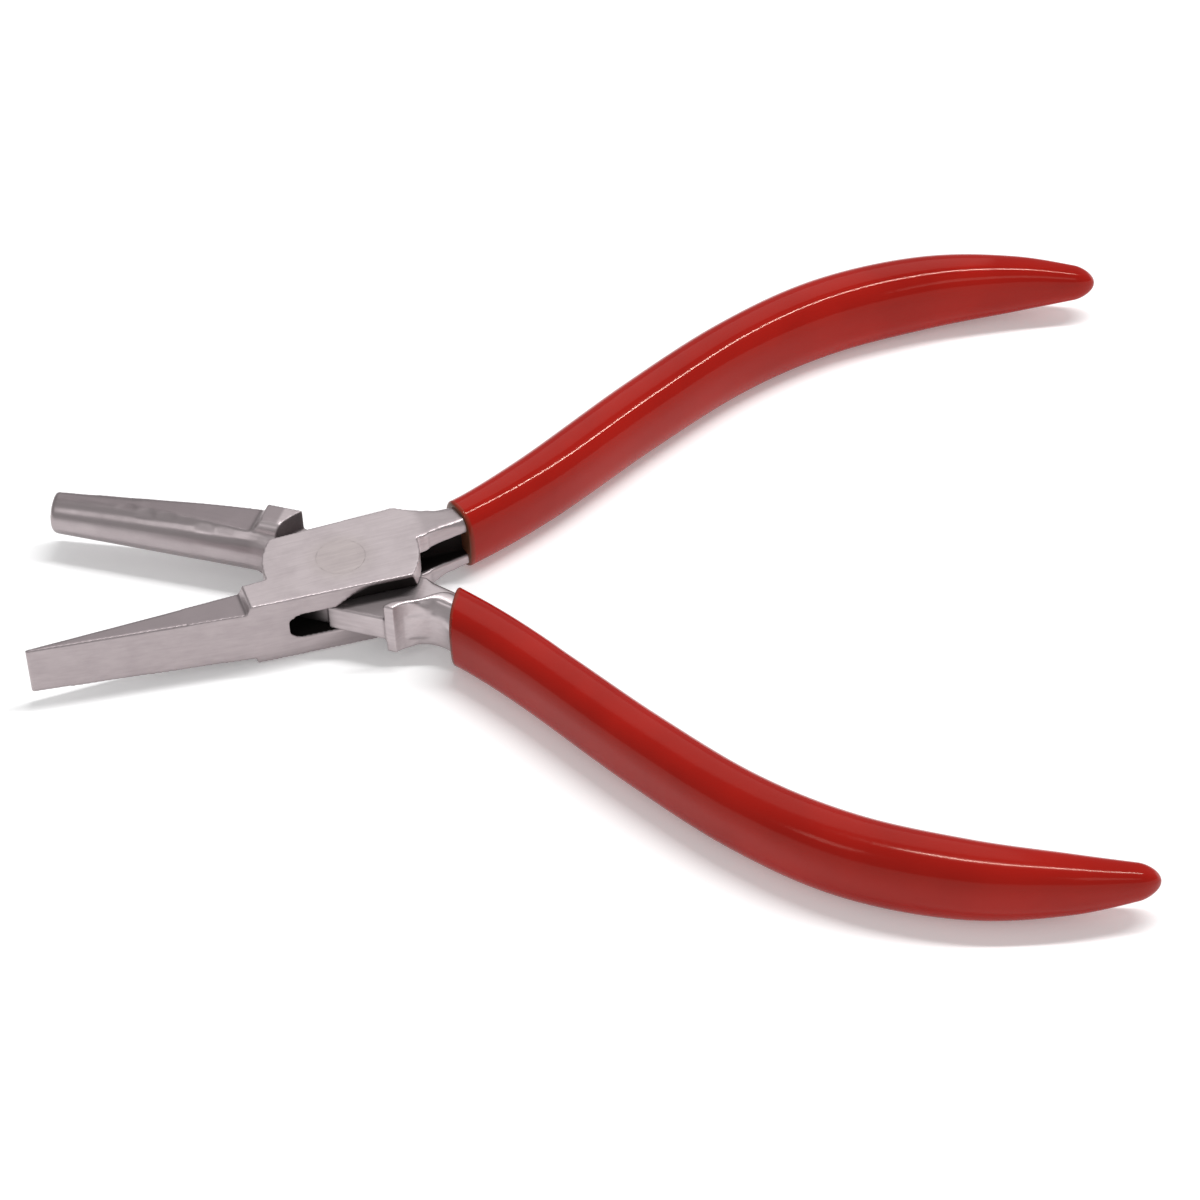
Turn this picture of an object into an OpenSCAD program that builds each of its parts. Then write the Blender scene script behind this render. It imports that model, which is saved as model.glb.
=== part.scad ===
// Box-joint jewellery pliers with a flat jaw, a round jaw and dipped grips.
// Lengths are in millimetres and angles in degrees. The pivot axis is the Z axis, z = 0 is the lower
// cheek face of the joint, +X points to the handles and +Y to the outer half's handle.
// Each half is drawn closed, with the pliers' centre line along X and its own middle plane at z = 0,
// and is then turned open about the pivot and lifted onto its lower cheek.

/* [Joint] */
// Thickness of the joint, over both cheeks
joint_t = 8.8; // [8.4:0.1:9.4]
// Width of the joint when the pliers are closed
joint_w = 12; // [11.6:0.1:12.4]
// Radius of the round ends of the cheeks
cheek_r = 9.2; // [9:0.1:9.4]
// Thickness of the tongue that passes between the cheeks
tongue_t = 3.3; // [3:0.1:3.6]
// Running gap between the tongue and each cheek
tongue_gap = 0.04; // [0.02:0.01:0.1]
// Gap between the cheek ends and the pockets that they turn in
pocket_gap = 0.25; // [0.2:0.05:0.4]
// Radius of the rivet's shank
rivet_r = 2.2; // [1.8:0.1:2.4]
// Radius of the rivet's flush heads
rivet_head_r = 2.9; // [2.6:0.1:3.2]

/* [Jaws] */
// Distance from the pivot to the tips of the jaws
jaw_reach = 38; // [34:0.2:40]
// Width of the flat jaw's tip
flat_tip_w = 6.4; // [5:0.2:7]
// Thickness of the flat jaw's tip
flat_tip_t = 0.4; // [0.3:0.1:1]
// Diameter of the round jaw's tip
round_tip_d = 5.4; // [4.6:0.2:5.6]
// Diameter of the round jaw where it leaves the joint
round_root_d = 7.5; // [7:0.1:7.8]

/* [Handles] */
// Thickness of the dipped coating
grip_wall = 0.9; // [0.7:0.1:1.2]
// Number of sides of a handle's section
section_sides = 20; // [16:4:28]
// Number of rings along a handle
section_rings = 28; // [20:2:36]

/* [Pose] */
// Angle that each half is turned from closed
open_angle = 19; // [0:1:22]

/* [Hidden] */

steel = [0.72, 0.69, 0.70];
steel_dark = [0.60, 0.57, 0.58];
dip_red = [0.68, 0.07, 0.05];

$fn = 96;
half_t = joint_t / 2;
half_w = joint_w / 2;
tongue_z = tongue_t / 2;
slot_z = tongue_z + tongue_gap;
slot_r = cheek_r + 0.06;                // round floor of the slot in the outer half
slot_edge_r = 1.35;                     // rounding of that floor
pocket_r = cheek_r + pocket_gap;        // pockets in the faces of the inner half
tongue_r = slot_r - slot_edge_r - 0.1;  // clears the rounded floor of the slot
tongue_w = 10.2;                        // width of the tongue

grip_plane = -0.55;                     // gripping face of the flat jaw, beside the centre line
cheek_front = -sqrt(cheek_r * cheek_r - grip_plane * grip_plane);  // where that face meets the cheeks
flat_root_x = -12.1;                    // where the joint steps down to the flat jaw
jaw_run_x = flat_root_x + 2;            // the flat jaw runs on into the cheeks to here
flat_root_y = -4.6;                     // outer side of the outer half at that step
band_end_y = -half_w - 0.15;            // and at the handle end of the cheeks
flat_root_top = 3.3;                    // upper side of the flat jaw there
flat_root_low = -3.7;                   // lower side of the flat jaw there

round_tip = [-jaw_reach + 0.3, 2.33];   // centre line of the round jaw
round_root = [-12.9, 4.55];
round_rim_r = 0.5;                      // rounding of its tip
round_flat_tip = 2.65;                  // half-height over its ground flats
round_flat_root = 3.1;
round_flat_bulge = 0.28;                // how far they bulge between tip and root
round_back_tip = 2.85;                  // ground back of the round jaw
round_back_root = 6.4;
block_x = -11.6;                        // square block behind the round jaw
block_y = 6.15;
block_to = -3;                          // the block and the round jaw end here, inside the joint
block_edge = 3.75;                      // the block's flat faces end here, beside the other jaw
round_run_on = 9;                       // the round jaw's cone runs on this far past its root
block_fillet = 1.3;

shoulder_top = 3.9;                     // height of the inner half's shoulder over its middle plane
shoulder_low = 3.2;                     // and its depth below it
relief_from = 9.8;                      // the upper cheek's relief starts this far from the flat jaw
relief_to = 23;                         // and runs out past the cheek's round end
relief_rise = 3.6;                      // over this length it rises towards the upper face
relief_edge = 0.35;                     // thickness that is left of the cheek's edge
relief_depth = 0.9;                     // how far in from that edge it reaches
shank_from = 9.2;                       // the forged shanks start here, beside the joint's arcs
tongue_edge = 5.75;                     // front edge of the tongue's root, beside the pivot
shoulder_x = 7.45;                      // square end of the inner half's shoulder

// Sections along a shank: distance from the pivot, then points across and up from its middle.
OUTER_SHANK = [
    [shank_from, [[-0.1, -half_t], [half_w, -half_t], [half_w, half_t], [-0.1, half_t]]],
    [12.2, [[0.55, -3.4], [4.7, -3.6], [4.7, 3.4], [4, 4], [1, 4], [0.55, 2.1]]],
    [16.6, [[1.6, -3], [4.2, -3.4], [5.2, -2.6], [5.2, 2.6], [4.4, 3.3], [2.3, 3.4], [1.4, 2.1]]]
];
INNER_SHANK = [
    [shank_from, [[1.9, -shoulder_low], [half_w, -shoulder_low], [half_w, shoulder_top],
        [1.9, shoulder_top]]],
    [10.7, [[1.2, -3.2], [5.5, -3.2], [5.5, 1], [4.2, 1.6], [3.3, 3.7], [1.2, 3.8]]],
    [12.2, [[0.6, -3.2], [4.3, -3.2], [4.3, 0.2], [3.8, 1], [2.6, 3.5], [1.4, 3.7], [0.6, 3.4]]],
    [16.6, [[0.9, -2.2], [1.8, -3.2], [3.8, -3.2], [4.9, -2.2], [4.9, 0.4], [3.2, 3], [1.4, 3.1]]]
];
outer_hollow_r = 7.2;                   // hollow on the outside of the outer half's shank
outer_hollow_c = [12.6, 11.6];
inner_hollow_r = 4.6;                   // and of the inner half's
inner_hollow_c = [12.6, 8.4];
FLUTE = [[9.4, 5.2, 4.2], [17, 3.8, 2.5]];  // forged flute along the inner half's shank
flute_r = [0.25, 0.8];
slice_t = 0.4;                          // thickness of the sections that the shanks run through
shank_slot = [2.9, 2.6];                // reach of the slot across the outer half's shank

// Centre line of a handle, from the joint to its end, with the half-width and half-height of the
// dipped grip at each point.
HANDLE = [
    // x, y, half-width, half-height
    [9, 2.5, 3, 4.3],
    [15.3, 3.3, 3, 4.3],
    [26, 7.5, 3.25, 4.35],
    [42, 15.6, 3.4, 4.5],
    [56, 21.7, 3.5, 4.65],
    [69, 24.8, 3.7, 4.8],
    [82, 24.6, 3.5, 4.6],
    [93, 22.1, 2.65, 3.6],
    [102.5, 18.6, 1.4, 1.7]
];
grip_from = 1;                          // the grip starts at this point of HANDLE
tang_from = 1.15;                       // the plain tang starts here, inside the shank,
tang_to = 7.5;                          // and ends here inside the grip
start_fade = 1.2;                       // over this many rows the grip's slanted start fades out
// Start of each grip: how much later it starts, its slant across the handle, and how much wider
// its inner side is there.
outer_start = [-0.2, 0.04, -0.1];
inner_start = [-0.3, 0.5, 0.32];
no_start = [0, 0, 0];
handle_end = len(HANDLE) - 1;
grip_power = 2.8;                       // roundness of the sections: 2 is an ellipse
cap_span = 0.25;                        // share of a row over which an end is rounded off
cap_rings = 8;                          // rings over that rounding
end_share = 0.05;                       // the last ring is this share of full size
fillet_steps = 8;                       // straight pieces in a drawn fillet
edge_steps = 6;                         // and in a rounded edge

// ---------- curves and lofts ----------

function clamp(v, low, high) = max(low, min(high, v));
function row(i) = HANDLE[clamp(i, 0, handle_end)];

// Catmull-Rom curve through the rows of HANDLE, at a place s counted in rows.
function along(s) =
    let (
        i = clamp(floor(s), 0, handle_end - 1),
        t = s - i,
        a = i == 0 ? 2 * row(0) - row(1) : row(i - 1),
        b = row(i),
        c = row(i + 1),
        d = i + 2 > handle_end ? 2 * row(i + 1) - row(i) : row(i + 2)
    )
    0.5 * (2 * b + (c - a) * t + (2 * a - 5 * b + 4 * c - d) * t * t
        + (3 * b - a - 3 * c + d) * t * t * t);

function heading(s) =
    let (d = along(s + 0.01) - along(s - 0.01)) atan2(d[1], d[0]);

function signed_power(v, p) = sign(v) * pow(abs(v), p);

// Share of full size at place s, falling to a small end over the last span before s_end.
function cap(s, s_end) =
    let (q = clamp((s - (s_end - cap_span)) / cap_span, 0, 1)) max(sqrt(1 - q * q), end_share);

// One ring of a handle at place s, its section smaller than the grip's by inset.
function ring(s, s_end, inset, start) =
    let (
        p = along(s),
        a = heading(s),
        k = cap(s, s_end),
        w = (p[2] - inset) * k,
        h = (p[3] - inset) * k,
        fade = clamp(1 - (s - grip_from) / start_fade, 0, 1)
    )
    [for (j = [0:section_sides - 1])
        let (
            turn = 360 * j / section_sides,
            side = cos(turn) < 0 ? 1 + start[2] * fade : 1,
            u = w * side * signed_power(cos(turn), 2 / grip_power),
            v = h * signed_power(sin(turn), 2 / grip_power),
            f = fade * (start[0] + start[1] * u)
        )
        [p[0] - u * sin(a) + f * cos(a), p[1] + u * cos(a) + f * sin(a), v]];

// Places of the rings: even along the handle, then closer together over the rounded end.
function places(s_from, s_end) =
    let (body = section_rings - cap_rings, s_cap = s_end - cap_span)
    concat(
        [for (i = [0:body - 1]) s_from + (s_cap - s_from) * i / body],
        [for (i = [0:cap_rings]) s_cap + cap_span * sin(90 * i / cap_rings)]
    );

// Closed loft of a handle from place s_from to its rounded end.
module handle_loft(s_from, s_end, inset, start) {
    rings = [for (s = places(s_from, s_end)) ring(s, s_end, inset, start)];
    n = section_sides;
    last = len(rings) - 1;
    points = [for (r = rings) for (p = r) p];
    sides = [for (i = [0:last - 1]) for (j = [0:n - 1])
        let (a = i * n + j, b = i * n + (j + 1) % n)
        each [[a, b + n, b], [a, a + n, b + n]]];
    first_face = [for (j = [0:n - 1]) j];
    end_face = [for (j = [n - 1:-1:0]) last * n + j];
    polyhedron(points, concat([first_face, end_face], sides), convexity = 10);
}

// ---------- the steel of a handle ----------

// Thin slice across a shank.
module cross_slice(x, points) {
    translate([x, 0, 0])
        rotate([90, 0, 90])
            linear_extrude(slice_t)
                polygon(points);
}

// Forged shank through its sections.
module shank(sections) {
    for (i = [0:len(sections) - 2])
        hull() {
            cross_slice(sections[i][0], sections[i][1]);
            cross_slice(sections[i + 1][0], sections[i + 1][1]);
        }
}

module hollow(centre, radius) {
    translate(centre) cylinder(h = 2 * joint_t, r = radius, center = true);
}

module tang() {
    handle_loft(tang_from, tang_to, grip_wall, no_start);
}

// ---------- outer half ----------

// Front edge of the joint, which tapers towards the flat jaw.
module joint_band() {
    polygon([[flat_root_x, flat_root_y], [flat_root_x, grip_plane], [cheek_front, grip_plane],
        [cheek_front, half_w], [cheek_r, half_w], [cheek_r, band_end_y]]);
}

module cheek_plan() {
    intersection() {
        joint_band();
        union() {
            circle(cheek_r);
            translate([flat_root_x, -half_w]) square([-flat_root_x, grip_plane + half_w]);
        }
    }
}

module flat_jaw() {
    intersection() {
        linear_extrude(joint_t, center = true)
            polygon([[jaw_run_x, grip_plane], [-jaw_reach, grip_plane],
                [-jaw_reach, grip_plane - flat_tip_t], [flat_root_x, flat_root_y],
                [jaw_run_x, flat_root_y]]);
        rotate([90, 0, 0])
            linear_extrude(joint_t)
                polygon([[jaw_run_x, flat_root_top + 0.02], [-jaw_reach, flat_tip_w / 2],
                    [-jaw_reach, -flat_tip_w / 2], [jaw_run_x, flat_root_low]]);
    }
}

// Short ramps between the cheek faces and the flat jaw.
module jaw_step() {
    intersection() {
        linear_extrude(joint_t, center = true)
            polygon([[flat_root_x - 0.6, flat_root_y + 0.1], [flat_root_x - 0.6, grip_plane],
                [flat_root_x + 1, grip_plane], [flat_root_x + 1, flat_root_y - 0.07]]);
        rotate([90, 0, 0])
            linear_extrude(joint_t)
                polygon([[flat_root_x - 0.55, flat_root_top], [flat_root_x, half_t],
                    [flat_root_x + 1, half_t], [flat_root_x + 1, -half_t],
                    [flat_root_x + 0.6, -half_t], [flat_root_x + 0.4, flat_root_low]]);
    }
}

// Slot between the cheeks: a round floor about the pivot, open on both sides of the joint.
module slot() {
    rotate_extrude() {
        translate([0, -slot_z]) square([slot_r - slot_edge_r, 2 * slot_z]);
        translate([0, slot_edge_r - slot_z]) square([slot_r, 2 * (slot_z - slot_edge_r)]);
        for (z = [slot_edge_r - slot_z, slot_z - slot_edge_r])
            translate([slot_r - slot_edge_r, z]) circle(slot_edge_r, $fn = 48);
    }
}

// Relief under the front edge of the upper cheek: at a height z it reaches in by relief_in(z), and
// it starts at relief_start(z) along that edge.
relief_high = half_t - relief_edge;
function relief_in(z) = relief_depth * (relief_high - z) / (relief_high - slot_z);
function relief_start(z) = relief_from + relief_rise * (z - slot_z) / (relief_high - slot_z);

module cheek_relief() {
    low = slot_z - 0.5;
    high = half_t + 1;
    translate([flat_root_x, flat_root_y, 0])
        rotate([0, 0, atan2(band_end_y - flat_root_y, cheek_r - flat_root_x)])
            intersection() {
                rotate([90, 0, 90])
                    linear_extrude(relief_to)
                        polygon([[-1, low], [relief_in(low), low], [relief_in(high), high], [-1, high]]);
                rotate([90, 0, 0])
                    linear_extrude(4, center = true)
                        polygon([[relief_start(low), low], [relief_start(high), high],
                            [relief_to, high], [relief_to, low]]);
            }
}

// Gaps between the cheeks on both sides of the slot, where the tongue passes out.
module slot_exits() {
    linear_extrude(2 * slot_z, center = true) {
        polygon([[-slot_r - 1, grip_plane], [-slot_r - 1, half_w + 1], [0, half_w + 1], [0, 0],
            [-slot_r + 1, grip_plane]]);
        polygon([[0, 0], [slot_r, 0.3], [slot_r + 3, -half_w - 1], [0, -half_w - 1]]);
    }
}

// The inner side of the outer half's shank, and the slot that runs on along it.
module shank_inside_cut() {
    x_end = 17;
    linear_extrude(2 * joint_t, center = true)
        polygon([[9.4, -4], [9.4, -0.05], [10.6, 0.05], [10.8, 0.4], [12.2, 0.75], [x_end, 1.6],
            [x_end, -4]]);
    linear_extrude(2 * slot_z, center = true)
        polygon([[6, -1], [6, shank_slot[0]], [slot_r, shank_slot[0]], [x_end, shank_slot[1]],
            [x_end, -1]]);
}

module rivet_shape(r_shank, r_head) {
    head_h = r_head - r_shank;
    cylinder(h = joint_t, r = r_shank, center = true);
    for (side = [0, 1])
        mirror([0, 0, side])
            translate([0, 0, half_t - head_h])
                cylinder(h = head_h, r1 = r_shank, r2 = r_head);
}

module outer_steel() {
    difference() {
        union() {
            linear_extrude(joint_t, center = true) cheek_plan();
            jaw_step();
            flat_jaw();
            shank(OUTER_SHANK);
            translate([0, 0, -half_t]) cube([shank_from + 0.1, half_w, joint_t]);
            tang();
        }
        hollow(outer_hollow_c, outer_hollow_r);
        slot();
        slot_exits();
        shank_inside_cut();
        cheek_relief();
        rivet_shape(rivet_r, rivet_head_r);
    }
}

// ---------- inner half ----------

// Half of a concave fillet, as points from its foot at a height of 0 up to its radius.
function fillet_rise(x, y, r) =
    [for (i = [0:fillet_steps]) let (a = -90 + 90 * i / fillet_steps)
        [x - r + r * cos(a), y + r + r * sin(a)]];

// Profile, seen from the side, of the flats that are ground on the round jaw.
module round_jaw_side() {
    foot_x = block_x - block_fillet;
    steps = 8;
    flat = [for (i = [0:steps - 1]) let (t = i / steps)
        [-jaw_reach + (foot_x + jaw_reach) * t,
            round_flat_tip + (round_flat_root - round_flat_tip) * t
                + 4 * round_flat_bulge * t * (1 - t)]];
    upper = concat(flat, fillet_rise(block_x, round_flat_root, half_t - round_flat_root),
        [[0, half_t]]);
    lower = [for (i = [len(upper) - 1:-1:0]) [upper[i][0], -upper[i][1]]];
    rotate([90, 0, 0]) linear_extrude(4 * half_w, center = true) polygon(concat(upper, lower));
}

// Turned form of the round jaw about its own sloping axis, running on into the joint.
module round_jaw_turned() {
    d = round_root - round_tip;
    run = norm(d);
    r_tip = round_tip_d / 2;
    r_root = round_root_d / 2;
    full_run = run + round_run_on;
    r_full = r_tip + (r_root - r_tip) * full_run / run;
    rim = [for (i = [0:edge_steps]) let (a = 90 - 90 * i / edge_steps)
        [r_tip - round_rim_r + round_rim_r * cos(a), round_rim_r - round_rim_r * sin(a)]];
    translate([round_tip[0], round_tip[1], 0])
        rotate([0, 90, atan2(d[1], d[0])])
            rotate_extrude()
                polygon(concat([[0, 0]], rim, [[r_full, full_run], [0, full_run]]));
}

// Block between the round jaw and the joint, as thick as the joint. Its upper and lower edges
// beside the other jaw are rounded down onto the round jaw.
module round_jaw_block() {
    corner_r = half_t - round_flat_root;
    edge = [for (i = [0:edge_steps]) let (a = 90 + 90 * i / edge_steps)
        [block_edge + corner_r * cos(a), round_flat_root + corner_r * sin(a)]];
    lower_edge = [for (i = [edge_steps:-1:0]) [edge[i][0], -edge[i][1]]];
    translate([block_x - block_fillet, 0, 0])
        rotate([90, 0, 90])
            linear_extrude(block_to - block_x + block_fillet)
                polygon(concat([[block_y, half_t]], edge, lower_edge, [[block_y, -half_t]]));
}

module round_jaw() {
    intersection() {
        union() {
            round_jaw_turned();
            round_jaw_block();
        }
        linear_extrude(joint_t, center = true)
            polygon([[-jaw_reach, -1], [-jaw_reach, round_back_tip],
                [block_x - block_fillet, round_back_root], [block_x - 0.2, block_y],
                [block_to, block_y], [block_to, -1]]);
        round_jaw_side();
    }
}

// Pockets in both faces, where the cheeks turn.
module pockets() {
    for (side = [0, 1])
        mirror([0, 0, side])
            translate([0, 0, tongue_z])
                linear_extrude(half_t) {
                    circle(pocket_r);
                    polygon([[0, 0], [8, -4.9], [9.35, -4.3], [10.6, -3.4], [11.9, -2], [13.7, -0.6],
                        [16.8, -0.3], [16.8, 4], [0, 9]]);
                }
}

// Thin middle layer: the disc that the rivet passes through, and its roots at both ends.
module tongue() {
    linear_extrude(tongue_t, center = true) {
        intersection() {
            circle(tongue_r);
            square([3 * tongue_r, tongue_w], center = true);
        }
        polygon([[0, tongue_w / 2], [0, 0.6], [-9.8, 0.7], [-9.8, tongue_w / 2]]);
        polygon([[0.3, 0], [0.3, -tongue_edge], [shoulder_x + 0.1, -tongue_edge], [12, -4], [15.9, -2],
            [15.6, 0.5], [13.2, 1.25], [10.4, 2.0], [9.5, 2.3], [0, 2.3]]);
    }
}

module cone_between(from, to, r_from, r_to) {
    d = to - from;
    translate(from)
        rotate([0, acos(d[2] / norm(d)), atan2(d[1], d[0])])
            cylinder(h = norm(d), r1 = r_from, r2 = r_to);
}

// Shoulder, shank and tang of the inner half.
module inner_handle() {
    mirror([0, 1, 0])
        difference() {
            union() {
                translate([shoulder_x, 0, -shoulder_low])
                    cube([shank_from - shoulder_x + 0.2, half_w, shoulder_low + shoulder_top]);
                shank(INNER_SHANK);
                tang();
            }
            hollow(inner_hollow_c, inner_hollow_r);
            cone_between(FLUTE[0], FLUTE[1], flute_r[0], flute_r[1]);
        }
}

module inner_steel() {
    difference() {
        union() {
            difference() {
                union() {
                    round_jaw();
                    inner_handle();
                }
                pockets();
            }
            tongue();
        }
        cylinder(h = joint_t, r = rivet_r + tongue_gap, center = true);
    }
}

// ---------- grips ----------

module outer_grip_closed() {
    difference() {
        handle_loft(grip_from, handle_end, 0, outer_start);
        outer_steel();
    }
}

module inner_grip_closed() {
    difference() {
        mirror([0, 1, 0]) handle_loft(grip_from, handle_end, 0, inner_start);
        inner_steel();
    }
}

// ---------- nodes, turned open and lifted onto the lower cheek ----------

module posed(side) {
    translate([0, 0, half_t]) rotate([0, 0, side * open_angle]) children();
}

module outer_half() {
    color(steel) posed(1) outer_steel();
}

module inner_half() {
    color(steel) posed(-1) inner_steel();
}

module joint_rivet() {
    color(steel_dark) posed(1) rivet_shape(rivet_r, rivet_head_r);
}

module outer_grip() {
    color(dip_red) posed(1) outer_grip_closed();
}

module inner_grip() {
    color(dip_red) posed(-1) inner_grip_closed();
}

outer_half();
inner_half();
joint_rivet();
outer_grip();
inner_grip();
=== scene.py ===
"""Box-joint jewellery pliers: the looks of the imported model.

Lengths are in metres unless a name ends in _MM. A half's closed frame has +X to the handles, +Y
to the half's own side and z = 0 in the middle of the joint.
"""

import math

import bpy
import numpy as np
from mathutils import Matrix, Vector


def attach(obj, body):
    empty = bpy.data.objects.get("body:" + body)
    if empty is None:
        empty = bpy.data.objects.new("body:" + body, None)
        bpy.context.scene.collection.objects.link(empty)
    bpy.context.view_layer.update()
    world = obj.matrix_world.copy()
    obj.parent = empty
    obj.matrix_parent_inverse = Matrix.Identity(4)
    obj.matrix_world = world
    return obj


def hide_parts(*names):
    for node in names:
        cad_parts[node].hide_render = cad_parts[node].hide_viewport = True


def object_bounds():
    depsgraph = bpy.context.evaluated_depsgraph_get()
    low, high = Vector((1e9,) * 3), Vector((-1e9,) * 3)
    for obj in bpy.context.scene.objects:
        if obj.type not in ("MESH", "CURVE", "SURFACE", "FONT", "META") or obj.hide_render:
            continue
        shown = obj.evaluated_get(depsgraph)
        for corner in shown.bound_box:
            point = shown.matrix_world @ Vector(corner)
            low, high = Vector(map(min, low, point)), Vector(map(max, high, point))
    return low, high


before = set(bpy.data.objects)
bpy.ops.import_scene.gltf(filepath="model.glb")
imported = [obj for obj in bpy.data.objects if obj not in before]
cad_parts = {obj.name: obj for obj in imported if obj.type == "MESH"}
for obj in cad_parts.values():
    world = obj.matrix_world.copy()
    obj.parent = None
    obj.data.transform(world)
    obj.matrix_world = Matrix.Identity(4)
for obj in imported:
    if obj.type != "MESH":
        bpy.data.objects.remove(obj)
cad_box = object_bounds()

MM = 0.001
HALF_OPEN = math.radians(19)      # each half is turned this far from closed
MIDDLE_MM = np.array([0, 0, 4.4])  # where the pivot axis meets the joint's middle plane

# ---------- camera ----------

CAMERA_AT = Vector((0.04870, -0.40382, 0.37770))
CAMERA_AZIMUTH = math.radians(2.689)
CAMERA_ELEVATION = math.radians(43.0)
CAMERA_ROLL = math.radians(3.531)
CAMERA_LENS_MM = 141.918
SENSOR_MM = 36.0

# ---------- steel ----------

VOXEL = 0.00016                   # grain of the steel meshes
EDGE_PASSES = 2                   # smoothing that breaks the ground edges
HALF_T_MM = 4.4                   # half the joint's thickness
RIVET_EDGE_MM = 2.87              # edge of the cheeks around the rivet's flush head
RIVET_GROUND_MM = 3.3             # the cheeks are ground flat with the rivet up to this radius
GROUND_DEPTH_MM = 0.25            # points this near a cheek face belong to it
EDGE_REACH_MM = 0.06              # points this near the rivet's edge lie on it
SLOT_Z_MM = 1.69                  # half the height of the slot between the cheeks

# ---------- grips: centre line in the closed frame, and the dipped section along it ----------

HANDLE_MM = np.array([
    # x, y, half-width, half-height
    [9, 2.5, 3, 4.3],
    [15.3, 3.3, 3, 4.3],
    [26, 7.5, 3.25, 4.35],
    [42, 15.6, 3.4, 4.5],
    [56, 21.7, 3.5, 4.65],
    [69, 24.8, 3.7, 4.8],
    [82, 24.6, 3.5, 4.6],
    [93, 22.1, 2.65, 3.6],
    [102.5, 18.6, 1.4, 1.7],
])
GRIP_FROM = 1.0                   # place where a grip starts, counted in rows of HANDLE_MM
GRIP_TO = len(HANDLE_MM) - 1.0
START_FADE = 1.2                  # rows over which the slanted start fades out
CAP_SPAN = 0.25                   # share of a row over which the end is rounded off
GRIP_POWER = 2.8                  # roundness of the section
GRIP_SIDES = 80
GRIP_RINGS = 170
CAP_RINGS = 24
LIP_ROUND_MM = 0.4                # rounding of the coating's open end, down to the steel
LIP_STEPS = 7
BEAD_MM = 0.04                    # thicker bead along that end
BEAD_LENGTH_MM = 1.3              # length over which the bead fades
SKIN_MM = 0.04                    # the drawn skin stays this far inside the coarser CAD skin
BODY_FROM = 0.05                  # rows between the rim and the first ring of the grip's body
BODY_CROWDING = 1.15              # above 1 the body's rings lie closer together near the rim
FAR_MM = 50.0                     # stands for any distance well away from the rim
# Start of each grip: how much later it starts, its slant across the handle, and how much wider
# its inner side is there.
OUTER_START = (-0.2, 0.04, -0.1)
INNER_START = (-0.3, 0.5, 0.32)


# ---------- helpers ----------

def link(obj):
    bpy.context.scene.collection.objects.link(obj)
    return obj


def turned(vectors, angle):
    """Vectors turned about Z."""
    cos, sin = math.cos(angle), math.sin(angle)
    x, y = vectors[:, 0], vectors[:, 1]
    return np.column_stack([x * cos - y * sin, x * sin + y * cos, vectors[:, 2]])


def to_closed(vectors, side):
    """Vectors of the row frame in the frame of one closed half, where +Y is the half's own side."""
    return turned(vectors, -side * HALF_OPEN) * [1, side, 1]


def from_closed(vectors, side):
    """The other way round."""
    return turned(vectors * [1, side, 1], side * HALF_OPEN)


def set_attribute(mesh, name, values):
    layer = mesh.attributes.new(name, "FLOAT", "POINT")
    layer.data.foreach_set("value", np.asarray(values, np.float32))


def coordinates(mesh):
    co = np.empty(len(mesh.vertices) * 3)
    mesh.vertices.foreach_get("co", co)
    return co.reshape(-1, 3)


def normals(mesh):
    no = np.empty(len(mesh.vertices) * 3, np.float32)
    mesh.vertex_normals.foreach_get("vector", no)
    return no.reshape(-1, 3)


def smooth_step(value, low, high):
    t = np.clip((value - low) / (high - low), 0, 1)
    return t * t * (3 - 2 * t)


# ---------- node helpers ----------

class Nodes:
    """Short calls for building one material's node tree."""

    def __init__(self, name):
        self.material = bpy.data.materials.new(name)
        self.material.use_nodes = True
        self.tree = self.material.node_tree
        self.shader = self.tree.nodes["Principled BSDF"]

    def add(self, kind, inputs=(), **settings):
        node = self.tree.nodes.new(kind)
        for key, value in settings.items():
            setattr(node, key, value)
        for key, value in dict(inputs).items():
            if isinstance(value, bpy.types.NodeSocket):
                self.tree.links.new(value, node.inputs[key])
            else:
                node.inputs[key].default_value = value
        return node

    def coords(self, turn, scale):
        """Object coordinates turned about Z, then scaled, in 1 / metres."""
        place = self.add("ShaderNodeTexCoord")
        rotated = self.add("ShaderNodeMapping", {"Vector": place.outputs["Object"],
                                                 "Rotation": (0, 0, turn)})
        scaled = self.add("ShaderNodeMapping", {"Vector": rotated.outputs["Vector"], "Scale": scale})
        return scaled.outputs["Vector"]

    def noise(self, vector, scale, detail, roughness):
        made = self.add("ShaderNodeTexNoise", {"Vector": vector, "Scale": scale, "Detail": detail,
                                               "Roughness": roughness})
        return made.outputs["Fac"]

    def attribute(self, name):
        return self.add("ShaderNodeAttribute", attribute_name=name).outputs["Fac"]

    def mix(self, factor, a, b):
        made = self.add("ShaderNodeMix", data_type="RGBA")
        for key, value in ((0, factor), (6, a), (7, b)):
            if isinstance(value, bpy.types.NodeSocket):
                self.tree.links.new(value, made.inputs[key])
            else:
                made.inputs[key].default_value = value
        return made.outputs[2]

    def span(self, value, from_low, from_high, to_low, to_high):
        made = self.add("ShaderNodeMapRange", {"Value": value, "From Min": from_low, "From Max": from_high,
                                               "To Min": to_low, "To Max": to_high})
        return made.outputs["Result"]

    def link(self, socket, name):
        self.tree.links.new(socket, self.shader.inputs[name])

    def bump(self, *layers):
        """Bump layers as (height socket, strength, distance in metres), one on the other."""
        last = None
        for height, strength, distance in layers:
            inputs = {"Height": height, "Strength": strength, "Distance": distance}
            if last is not None:
                inputs["Normal"] = last
            last = self.add("ShaderNodeBump", inputs).outputs["Normal"]
        self.link(last, "Normal")


# ---------- materials ----------

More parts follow.
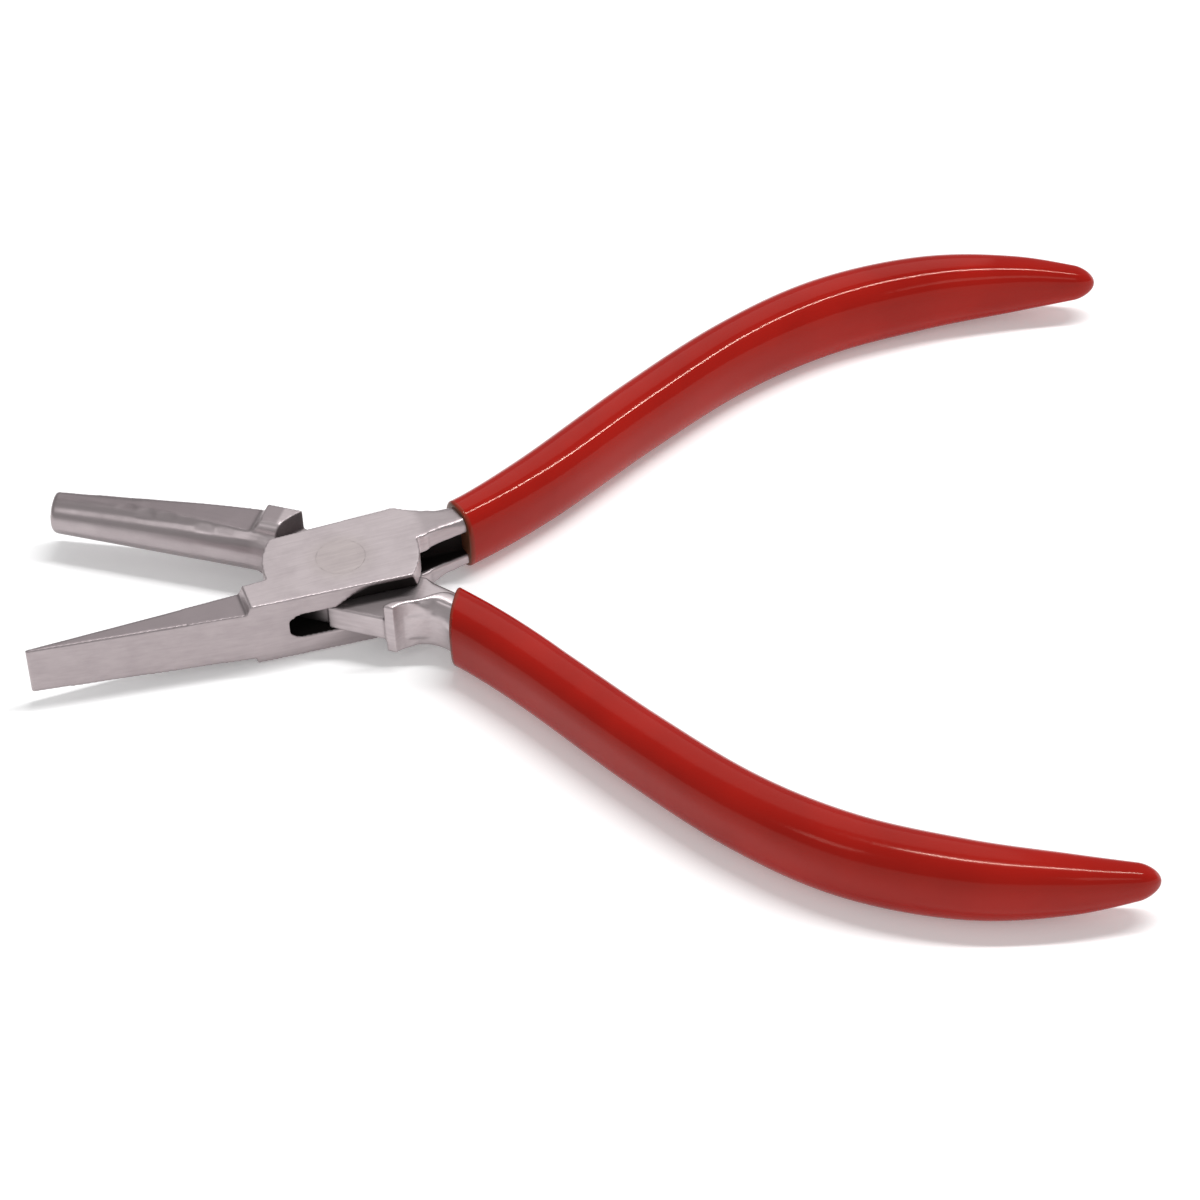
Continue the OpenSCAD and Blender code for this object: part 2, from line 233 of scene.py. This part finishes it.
STEEL_LIGHT = (0.56, 0.495, 0.505, 1)
# Darker mill-finish tone, partly painted shade on up-facing jaw and block faces.
STEEL_MILLED_AND_SHADE = (0.26, 0.222, 0.230, 1)
STEEL_SCRATCH = (0.35, 0.300, 0.310, 1)
# Painted shade for faces turned to -Y, towards the front.
STEEL_FRONT_SHADE = (0.43, 0.370, 0.378, 1)
STEEL_BURNISH = (0.46, 0.405, 0.375, 1)
# Dark residue plus painted shade for the slots, recesses and the parts under the upper cheek.
STEEL_SOOT_AND_SHADE = (0.03, 0.026, 0.025, 1)
RIVET_LIGHT = (0.53, 0.467, 0.462, 1)
SCRATCH_GRAIN = (230, 2900, 2900)  # scratches per metre along and across the ground faces
FINE_GRAIN = (260, 6500, 6500)     # and a finer set that crosses them at a small angle
FINE_TURN = math.radians(7)
BLOTCH_SCALE = 260.0               # blotches per metre on the steel
PLAIN = (1, 1, 1)                  # noise that is even in all directions


def steel_material(name, side):
    """Ground steel. The attributes say where it has a darker mill finish plus painted shade on up-facing
    faces, where faces turned to -Y get painted shade, where it is polished, and where residue plus painted
    shade blacken it.
    """
    n = Nodes(name)
    turn = -side * HALF_OPEN
    scratch = n.noise(n.coords(turn, SCRATCH_GRAIN), 1.0, 3.0, 0.6)
    fine = n.noise(n.coords(turn + FINE_TURN, FINE_GRAIN), 1.0, 2.0, 0.5)
    blotch = n.noise(n.coords(0, PLAIN), BLOTCH_SCALE, 4.0, 0.6)
    milled_and_shade = n.attribute("milled_and_shade")
    front = n.attribute("front")
    polish = n.attribute("polish")
    soot_and_shade = n.attribute("soot_and_shade")
    burnish = n.attribute("burnish")
    # Mill-finish tone plus painted shade on up-facing jaw faces.
    colour = n.mix(milled_and_shade, STEEL_LIGHT, STEEL_MILLED_AND_SHADE)
    # Painted shade on faces turned to -Y.
    colour = n.mix(front, colour, STEEL_FRONT_SHADE)
    colour = n.mix(burnish, colour, STEEL_BURNISH)
    streaks = n.span(scratch, 0.3, 0.7, 0.0, 0.26)
    colour = n.mix(streaks, colour, STEEL_SCRATCH)
    stains = n.span(blotch, 0.45, 0.75, 0.0, 0.40)
    colour = n.mix(stains, colour, STEEL_SCRATCH)
    # Residue plus painted shade, near black.
    colour = n.mix(soot_and_shade, colour, STEEL_SOOT_AND_SHADE)
    n.link(colour, "Base Color")
    n.shader.inputs["Metallic"].default_value = 1.0
    ground_roughness = n.span(scratch, 0.25, 0.75, 0.36, 0.50)
    polished_roughness = n.span(blotch, 0.3, 0.7, 0.30, 0.38)
    rough = n.add("ShaderNodeMix", {0: polish, 2: ground_roughness, 3: polished_roughness}).outputs[0]
    rough = n.add("ShaderNodeMix", {0: soot_and_shade, 2: rough, 3: 0.8}).outputs[0]
    n.link(rough, "Roughness")
    n.bump((scratch, 0.22, 0.00003), (fine, 0.15, 0.00001), (blotch, 0.10, 0.00006))
    return n.material


def rivet_material():
    """The rivet is ground together with the cheeks, so it carries the same scratches."""
    n = Nodes("rivet_steel")
    scratch = n.noise(n.coords(-HALF_OPEN, SCRATCH_GRAIN), 1.0, 3.0, 0.6)
    blotch = n.noise(n.coords(0, PLAIN), BLOTCH_SCALE, 4.0, 0.6)
    colour = n.mix(n.span(scratch, 0.3, 0.7, 0.0, 0.34), RIVET_LIGHT, STEEL_SCRATCH)
    n.link(n.mix(n.span(blotch, 0.5, 0.75, 0.0, 0.3), colour, STEEL_SCRATCH), "Base Color")
    n.shader.inputs["Metallic"].default_value = 1.0
    n.link(n.span(scratch, 0.25, 0.75, 0.36, 0.50), "Roughness")
    n.bump((scratch, 0.22, 0.00003), (blotch, 0.10, 0.00006))
    return n.material


GRIP_RED = (0.39, 0.009, 0.005, 1)
GRIP_DEEP = (0.33, 0.007, 0.004, 1)
GRIP_EDGE = (0.10, 0.055, 0.03, 1)


def grip_material(name, roughness):
    """Glossy dip-moulded plastic, with a thin discoloured edge where it meets the steel."""
    n = Nodes(name)
    cloud = n.noise(n.coords(0, PLAIN), 90.0, 3.0, 0.5)
    peel = n.noise(n.coords(0, PLAIN), 420.0, 2.0, 0.5)
    speck = n.noise(n.coords(0, PLAIN), 2600.0, 2.0, 0.5)
    colour = n.mix(n.span(cloud, 0.35, 0.65, 0.0, 1.0), GRIP_RED, GRIP_DEEP)
    edge = n.span(n.attribute("from_rim"), 0.25, 0.85, 0.9, 0.0)
    n.link(n.mix(edge, colour, GRIP_EDGE), "Base Color")
    n.link(n.span(speck, 0.3, 0.7, *roughness), "Roughness")
    n.shader.inputs["IOR"].default_value = 1.46
    n.shader.inputs["Specular IOR Level"].default_value = 0.28
    n.shader.inputs["Specular Tint"].default_value = (1.0, 0.74, 0.62, 1)
    n.bump((cloud, 0.25, 0.0002), (peel, 0.10, 0.00005))
    return n.material


FLOOR_DARK = (0.93, 0.93, 0.935, 1)
FLOOR_LIGHT = (0.95, 0.95, 0.95, 1)


def floor_material():
    n = Nodes("pale_floor")
    grain = n.noise(n.coords(0, PLAIN), 60.0, 3.0, 0.5)
    n.link(n.mix(n.span(grain, 0.3, 0.7, 0.0, 1.0), FLOOR_DARK, FLOOR_LIGHT), "Base Color")
    n.shader.inputs["Roughness"].default_value = 0.9
    n.shader.inputs["Specular IOR Level"].default_value = 0.1
    n.shader.inputs["Emission Color"].default_value = (1, 1, 1, 1)
    n.shader.inputs["Emission Strength"].default_value = 0.20
    return n.material


# ---------- steel meshes ----------

def relax(co, edges, weight, passes):
    """Moves each point towards the mean of its neighbours, as far as its weight says."""
    count = np.bincount(edges.ravel(), minlength=len(co))[:, None]
    for _ in range(passes):
        total = np.empty_like(co)
        for axis in range(3):
            total[:, axis] = (np.bincount(edges[:, 0], co[edges[:, 1], axis], len(co))
                              + np.bincount(edges[:, 1], co[edges[:, 0], axis], len(co)))
        co = co + weight * (total / count - co)
    return co


def dense_copy(node, name):
    """An object with an even, fine copy of a CAD node's mesh."""
    obj = link(bpy.data.objects.new(name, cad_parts[node].data.copy()))
    grid = obj.modifiers.new("grid", "REMESH")
    grid.mode = "VOXEL"
    grid.voxel_size = VOXEL
    bpy.context.view_layer.update()
    evaluated = obj.evaluated_get(bpy.context.evaluated_depsgraph_get())
    mesh = bpy.data.meshes.new_from_object(evaluated)
    obj.modifiers.clear()
    obj.data = mesh
    return obj


def steel_half(node, body, side, softness, passes, zones):
    """One steel half: its CAD shape with broken ground edges and a softly forged shank."""
    obj = dense_copy(node, node + "_steel")
    mesh = obj.data
    edges = np.empty(len(mesh.edges) * 2, np.int64)
    mesh.edges.foreach_get("vertices", edges)
    edges = edges.reshape(-1, 2)
    co = coordinates(mesh) / MM
    co = relax(co, edges, 0.5, EDGE_PASSES)
    closed = to_closed(co - MIDDLE_MM, side)
    radius = np.hypot(closed[:, 0], closed[:, 1])
    at_rivet = (radius < RIVET_GROUND_MM) & (np.abs(closed[:, 2]) > HALF_T_MM - GROUND_DEPTH_MM)
    co[at_rivet, 2] = MIDDLE_MM[2] + np.sign(closed[at_rivet, 2]) * HALF_T_MM
    at_edge = at_rivet & (radius < RIVET_EDGE_MM + EDGE_REACH_MM)
    co[at_edge, :2] *= (RIVET_EDGE_MM / radius[at_edge])[:, None]
    co = relax(co, edges, 0.5 * softness(closed[:, 0])[:, None], passes)
    mesh.vertices.foreach_set("co", (co * MM).ravel())
    mesh.update()
    mesh.shade_smooth()
    closed = to_closed(coordinates(mesh) / MM - MIDDLE_MM, side)
    for name, values in zones(closed, to_closed(normals(mesh), side)).items():
        set_attribute(mesh, name, values)
    mesh.materials.clear()
    mesh.materials.append(steel_material(node + "_ground_steel", side))
    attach(obj, body)
    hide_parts(node)


def outer_softness(x):
    """How softly the outer half is forged along its length."""
    return smooth_step(x, 9.5, 12.0)


def inner_softness(x):
    """The same for the inner half, whose round jaw is polished."""
    return np.maximum(smooth_step(x, 9.8, 11.0), 0.2 * (1 - smooth_step(x, -14.5, -13.5)))


# ---------- finishes and painted shade: p is in a half's closed frame in mm, no holds the normals there ---

def slot_height(p):
    """1 between the cheeks, 0 on them."""
    return 1 - smooth_step(np.abs(p[:, 2]), 1.70, 1.85)


def slot_soot_and_shade(p, no):
    """Residue plus painted shade inside the slot between the cheeks, but not on the joint's front face."""
    from_pivot = np.hypot(p[:, 0], p[:, 1])
    inside = (1 - smooth_step(from_pivot, 9.3, 9.6)) * smooth_step(p[:, 0], -9.6, -9.2)
    front_face = smooth_step(-no[:, 1], 0.4, 0.7) * smooth_step(-p[:, 1], 4.0, 4.5)
    return slot_height(p) * inside * (1 - front_face)


def shank_slot_soot_and_shade(p):
    """Residue plus painted shade in the slot that runs on along the shank, behind the shank's sloping
    inner side.
    """
    inner_side = 0.55 + 0.19 * (p[:, 0] - 11.4)
    along_shank = smooth_step(p[:, 0], 8.8, 9.4)
    across = smooth_step(p[:, 1] - inner_side, 0.05, 0.35) * (1 - smooth_step(p[:, 1], 2.95, 3.1))
    return slot_height(p) * along_shank * across


def relief_soot_and_shade(p, no):
    """Residue plus painted shade on the down-facing relief under the upper cheek's front edge, from its
    sloping left end on.
    """
    from_end = p[:, 0] + 2.3 - 1.525 * (p[:, 2] - SLOT_Z_MM)
    faces_down = smooth_step(-no[:, 2], 0.10, 0.28)
    above_slot = smooth_step(p[:, 2], 1.5, 1.7)
    near_front = smooth_step(-p[:, 1], 3.0, 3.5)
    return faces_down * above_slot * near_front * smooth_step(from_end, -0.3, 1.1)


def outer_zones(p, no):
    """Finishes and painted shade of the outer half, each from 0 to 1."""
    up = smooth_step(np.abs(no[:, 2]), 0.6, 0.9)
    jaw = 1 - smooth_step(p[:, 0], -12.4, -11.9)
    shank = smooth_step(p[:, 0], 9.8, 11.0)
    # Painted shade: faces turned to -Y are darkened.
    front = smooth_step(-no[:, 1], 0.5, 0.9) * smooth_step(-p[:, 1], 0.7, 0.9)
    near_rivet = 1 - smooth_step(np.hypot(p[:, 0], p[:, 1]), 2.0, 5.0)
    # Residue plus painted shade in the slots.
    soot_and_shade = np.maximum(slot_soot_and_shade(p, no), shank_slot_soot_and_shade(p))
    return {
        # Mill-finish tone plus painted shade on the flat jaw's up-facing faces; the shank gets a lighter
        # share.
        "milled_and_shade": np.maximum(0.9 * jaw * up, 0.35 * shank),
        "front": 0.7 * front,
        "polish": 0.2 * smooth_step(p[:, 0], 10, 11),
        "soot_and_shade": np.maximum(soot_and_shade, relief_soot_and_shade(p, no)),
        "burnish": 0.4 * near_rivet * up,
    }


def inner_zones(p, no):
    """Finishes and painted shade of the inner half, each from 0 to 1."""
    beside_outer = to_closed(from_closed(p, -1), 1)
    from_pivot = np.hypot(p[:, 0], p[:, 1])
    hidden_end = 1 - smooth_step(beside_outer[:, 0], -4.8, -2.2)
    # Painted shadow on the tongue's top where it lies under the outer half's cheek.
    tongue = (1 - smooth_step(from_pivot, 9.0, 9.3)) * hidden_end
    block = smooth_step(p[:, 0], -13.0, -12.0) * (1 - smooth_step(p[:, 0], -9.6, -9.2))
    jaw = 1 - smooth_step(p[:, 0], -12.6, -11.4)
    flat = smooth_step(np.abs(no[:, 2]), 0.90, 0.98)
    # Residue plus painted shade on the pocket's floor and walls.
    pocket = (1 - smooth_step(from_pivot, 9.45, 9.7)) * smooth_step(np.abs(p[:, 2]), 1.5, 1.75)
    return {
        # Mill-finish tone plus painted shade, strongest on up-facing jaw and block faces.
        "milled_and_shade": np.maximum(jaw * (0.35 + 0.65 * flat), 0.8 * block * flat),
        "front": np.zeros(len(p)),
        "polish": np.maximum(jaw * (1 - flat), smooth_step(p[:, 0], 9.4, 10.4)),
        "soot_and_shade": np.maximum(0.6 * pocket, 0.95 * tongue),
        "burnish": np.zeros(len(p)),
    }


# ---------- grip meshes ----------

def along(s):
    """Centre line, half-width and half-height at a place s, counted in rows (Catmull-Rom)."""
    last = len(HANDLE_MM) - 1
    i = min(max(math.floor(s), 0), last - 1)
    t = s - i
    b, c = HANDLE_MM[i], HANDLE_MM[i + 1]
    a = 2 * b - c if i == 0 else HANDLE_MM[i - 1]
    d = 2 * c - b if i + 2 > last else HANDLE_MM[i + 2]
    return 0.5 * (2 * b + (c - a) * t + (2 * a - 5 * b + 4 * c - d) * t * t
                  + (3 * b - a - 3 * c + d) * t ** 3)


def grip_ring(s, start, inset=0.0, shift=0.0):
    """One ring of the grip's outer skin at place s, drawn in by inset and moved on by shift, in mm."""
    p = along(s)
    ahead = along(s + 0.01) - along(s - 0.01)
    heading = math.atan2(ahead[1], ahead[0])
    q = min(max((s - (GRIP_TO - CAP_SPAN)) / CAP_SPAN, 0), 1)
    full = math.sqrt(max(1 - q * q, 0.0))
    fade = min(max(1 - (s - GRIP_FROM) / START_FADE, 0), 1)
    turn = np.arange(GRIP_SIDES) * 2 * math.pi / GRIP_SIDES
    side = np.where(np.cos(turn) < 0, 1 + start[2] * fade, 1.0)
    across = np.sign(np.cos(turn)) * np.abs(np.cos(turn)) ** (2 / GRIP_POWER)
    up = np.sign(np.sin(turn)) * np.abs(np.sin(turn)) ** (2 / GRIP_POWER)
    u = (p[2] * side - inset - SKIN_MM) * full * across
    v = (p[3] - inset - SKIN_MM) * full * up
    f = fade * (start[0] + start[1] * u) + shift
    return np.column_stack([
        p[0] - u * math.sin(heading) + f * math.cos(heading),
        p[1] + u * math.cos(heading) + f * math.sin(heading),
        v,
    ])


def grip_rings(start):
    """All rings of a grip as (points, distance from the rim in mm), from the lip's inside to the end."""
    rings = [(grip_ring(GRIP_FROM, start, 3 * LIP_ROUND_MM), 0.0)]
    for i in range(LIP_STEPS):
        angle = 0.5 * math.pi * i / (LIP_STEPS - 1)
        inset = LIP_ROUND_MM * (1 - math.sin(angle))
        shift = LIP_ROUND_MM * (1 - math.cos(angle))
        lip = grip_ring(GRIP_FROM, start, inset - BEAD_MM * math.sin(angle), shift)
        rings.append((lip, 1.5 * (LIP_ROUND_MM - inset)))
    s_cap = GRIP_TO - CAP_SPAN
    body = s_cap - GRIP_FROM - BODY_FROM
    for i in range(GRIP_RINGS):
        s = GRIP_FROM + BODY_FROM + body * (i / GRIP_RINGS) ** BODY_CROWDING
        travelled = np.linalg.norm((along(s) - along(GRIP_FROM))[:2]) + 0.5 * LIP_ROUND_MM
        bead = BEAD_MM * math.exp(-(travelled / BEAD_LENGTH_MM) ** 2)
        rings.append((grip_ring(s, start, -bead), travelled))
    for i in range(CAP_RINGS):
        s = s_cap + CAP_SPAN * math.sin(0.5 * math.pi * i / CAP_RINGS)
        rings.append((grip_ring(s, start), FAR_MM))
    return rings


def grip(node, body, side, start, roughness):
    """One dipped grip, as a smooth loft closed at both ends."""
    rings = grip_rings(start)
    tip = along(GRIP_TO)
    mouth = rings[0][0].mean(0)
    points = np.vstack([r for r, _ in rings] + [[mouth], [[tip[0], tip[1], 0.0]]])
    from_rim = np.concatenate([[d] * GRIP_SIDES for _, d in rings] + [[0.0, FAR_MM]])
    n, last = GRIP_SIDES, len(rings) - 1
    faces = [(i * n + j, i * n + (j + 1) % n, (i + 1) * n + (j + 1) % n, (i + 1) * n + j)
             for i in range(last) for j in range(n)]
    mouth_at = len(points) - 2
    tip_at = len(points) - 1
    faces += [((j + 1) % n, j, mouth_at) for j in range(n)]
    faces += [(last * n + j, last * n + (j + 1) % n, tip_at) for j in range(n)]
    if side < 0:
        faces = [f[::-1] for f in faces]
    mesh = bpy.data.meshes.new(node + "_skin")
    mesh.from_pydata(((from_closed(points, side) + MIDDLE_MM) * MM).tolist(), [], faces)
    mesh.validate()
    mesh.shade_smooth()
    set_attribute(mesh, "from_rim", from_rim)
    mesh.materials.append(grip_material(node + "_dip", roughness))
    obj = link(bpy.data.objects.new(node + "_dipped", mesh))
    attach(obj, body)
    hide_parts(node)


# ---------- stage ----------

def area_light(name, at, aim, size, power):
    """Rectangular lamp at a place, aimed at another."""
    lamp = bpy.data.lights.new(name, "AREA")
    lamp.shape = "RECTANGLE"
    lamp.size, lamp.size_y = size
    lamp.energy = power
    obj = link(bpy.data.objects.new(name, lamp))
    towards = (Vector(aim) - Vector(at)).to_track_quat("-Z", "Y").to_matrix().to_4x4()
    obj.matrix_world = Matrix.Translation(at) @ towards


def make_floor():
    half, low = 3.0, cad_box[0].z
    corners = [(-half, -half, low), (half, -half, low), (half, half, low), (-half, half, low)]
    mesh = bpy.data.meshes.new("floor")
    mesh.from_pydata(corners, [], [(0, 1, 2, 3)])
    mesh.materials.append(floor_material())
    floor = link(bpy.data.objects.new("floor", mesh))


def make_world():
    world = bpy.data.worlds.new("studio")
    bpy.context.scene.world = world
    world.use_nodes = True
    sky = world.node_tree.nodes["Background"]
    sky.inputs["Color"].default_value = (1.0, 1.0, 1.0, 1)
    sky.inputs["Strength"].default_value = 0.40


def make_camera():
    data = bpy.data.cameras.new("camera")
    data.sensor_width = SENSOR_MM
    data.lens = CAMERA_LENS_MM
    data.clip_start = 0.01
    data.clip_end = 20
    cam = link(bpy.data.objects.new("camera", data))
    turn = (Matrix.Rotation(CAMERA_AZIMUTH, 4, "Z")
            @ Matrix.Rotation(math.pi / 2 - CAMERA_ELEVATION, 4, "X")
            @ Matrix.Rotation(-CAMERA_ROLL, 4, "Z"))
    cam.matrix_world = Matrix.Translation(CAMERA_AT) @ turn
    bpy.context.scene.camera = cam


bpy.context.scene.view_settings.view_transform = "Standard"

steel_half("outer_half", "outer", 1, outer_softness, 7, outer_zones)
steel_half("inner_half", "inner", -1, inner_softness, 24, inner_zones)
grip("outer_grip", "outer", 1, OUTER_START, (0.07, 0.12))
grip("inner_grip", "inner", -1, INNER_START, (0.12, 0.18))

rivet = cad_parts["joint_rivet"]
rivet.data.materials.clear()
rivet.data.materials.append(rivet_material())

make_floor()
make_world()
make_camera()
area_light("tube", (0.36, 0.19, 0.90), (0.36, 0.19, 0), (0.74, 0.045), 6.6)
area_light("back_soft", (-0.10, 1.00, 0.95), (0.03, 0, 0), (0.90, 0.70), 1.45)
area_light("front_left", (-0.42, -0.42, 0.56), (0.02, 0, 0), (0.20, 0.20), 0.32)
area_light("front_right", (0.40, -0.62, 0.46), (0.02, 0, 0), (0.20, 0.20), 0.22)
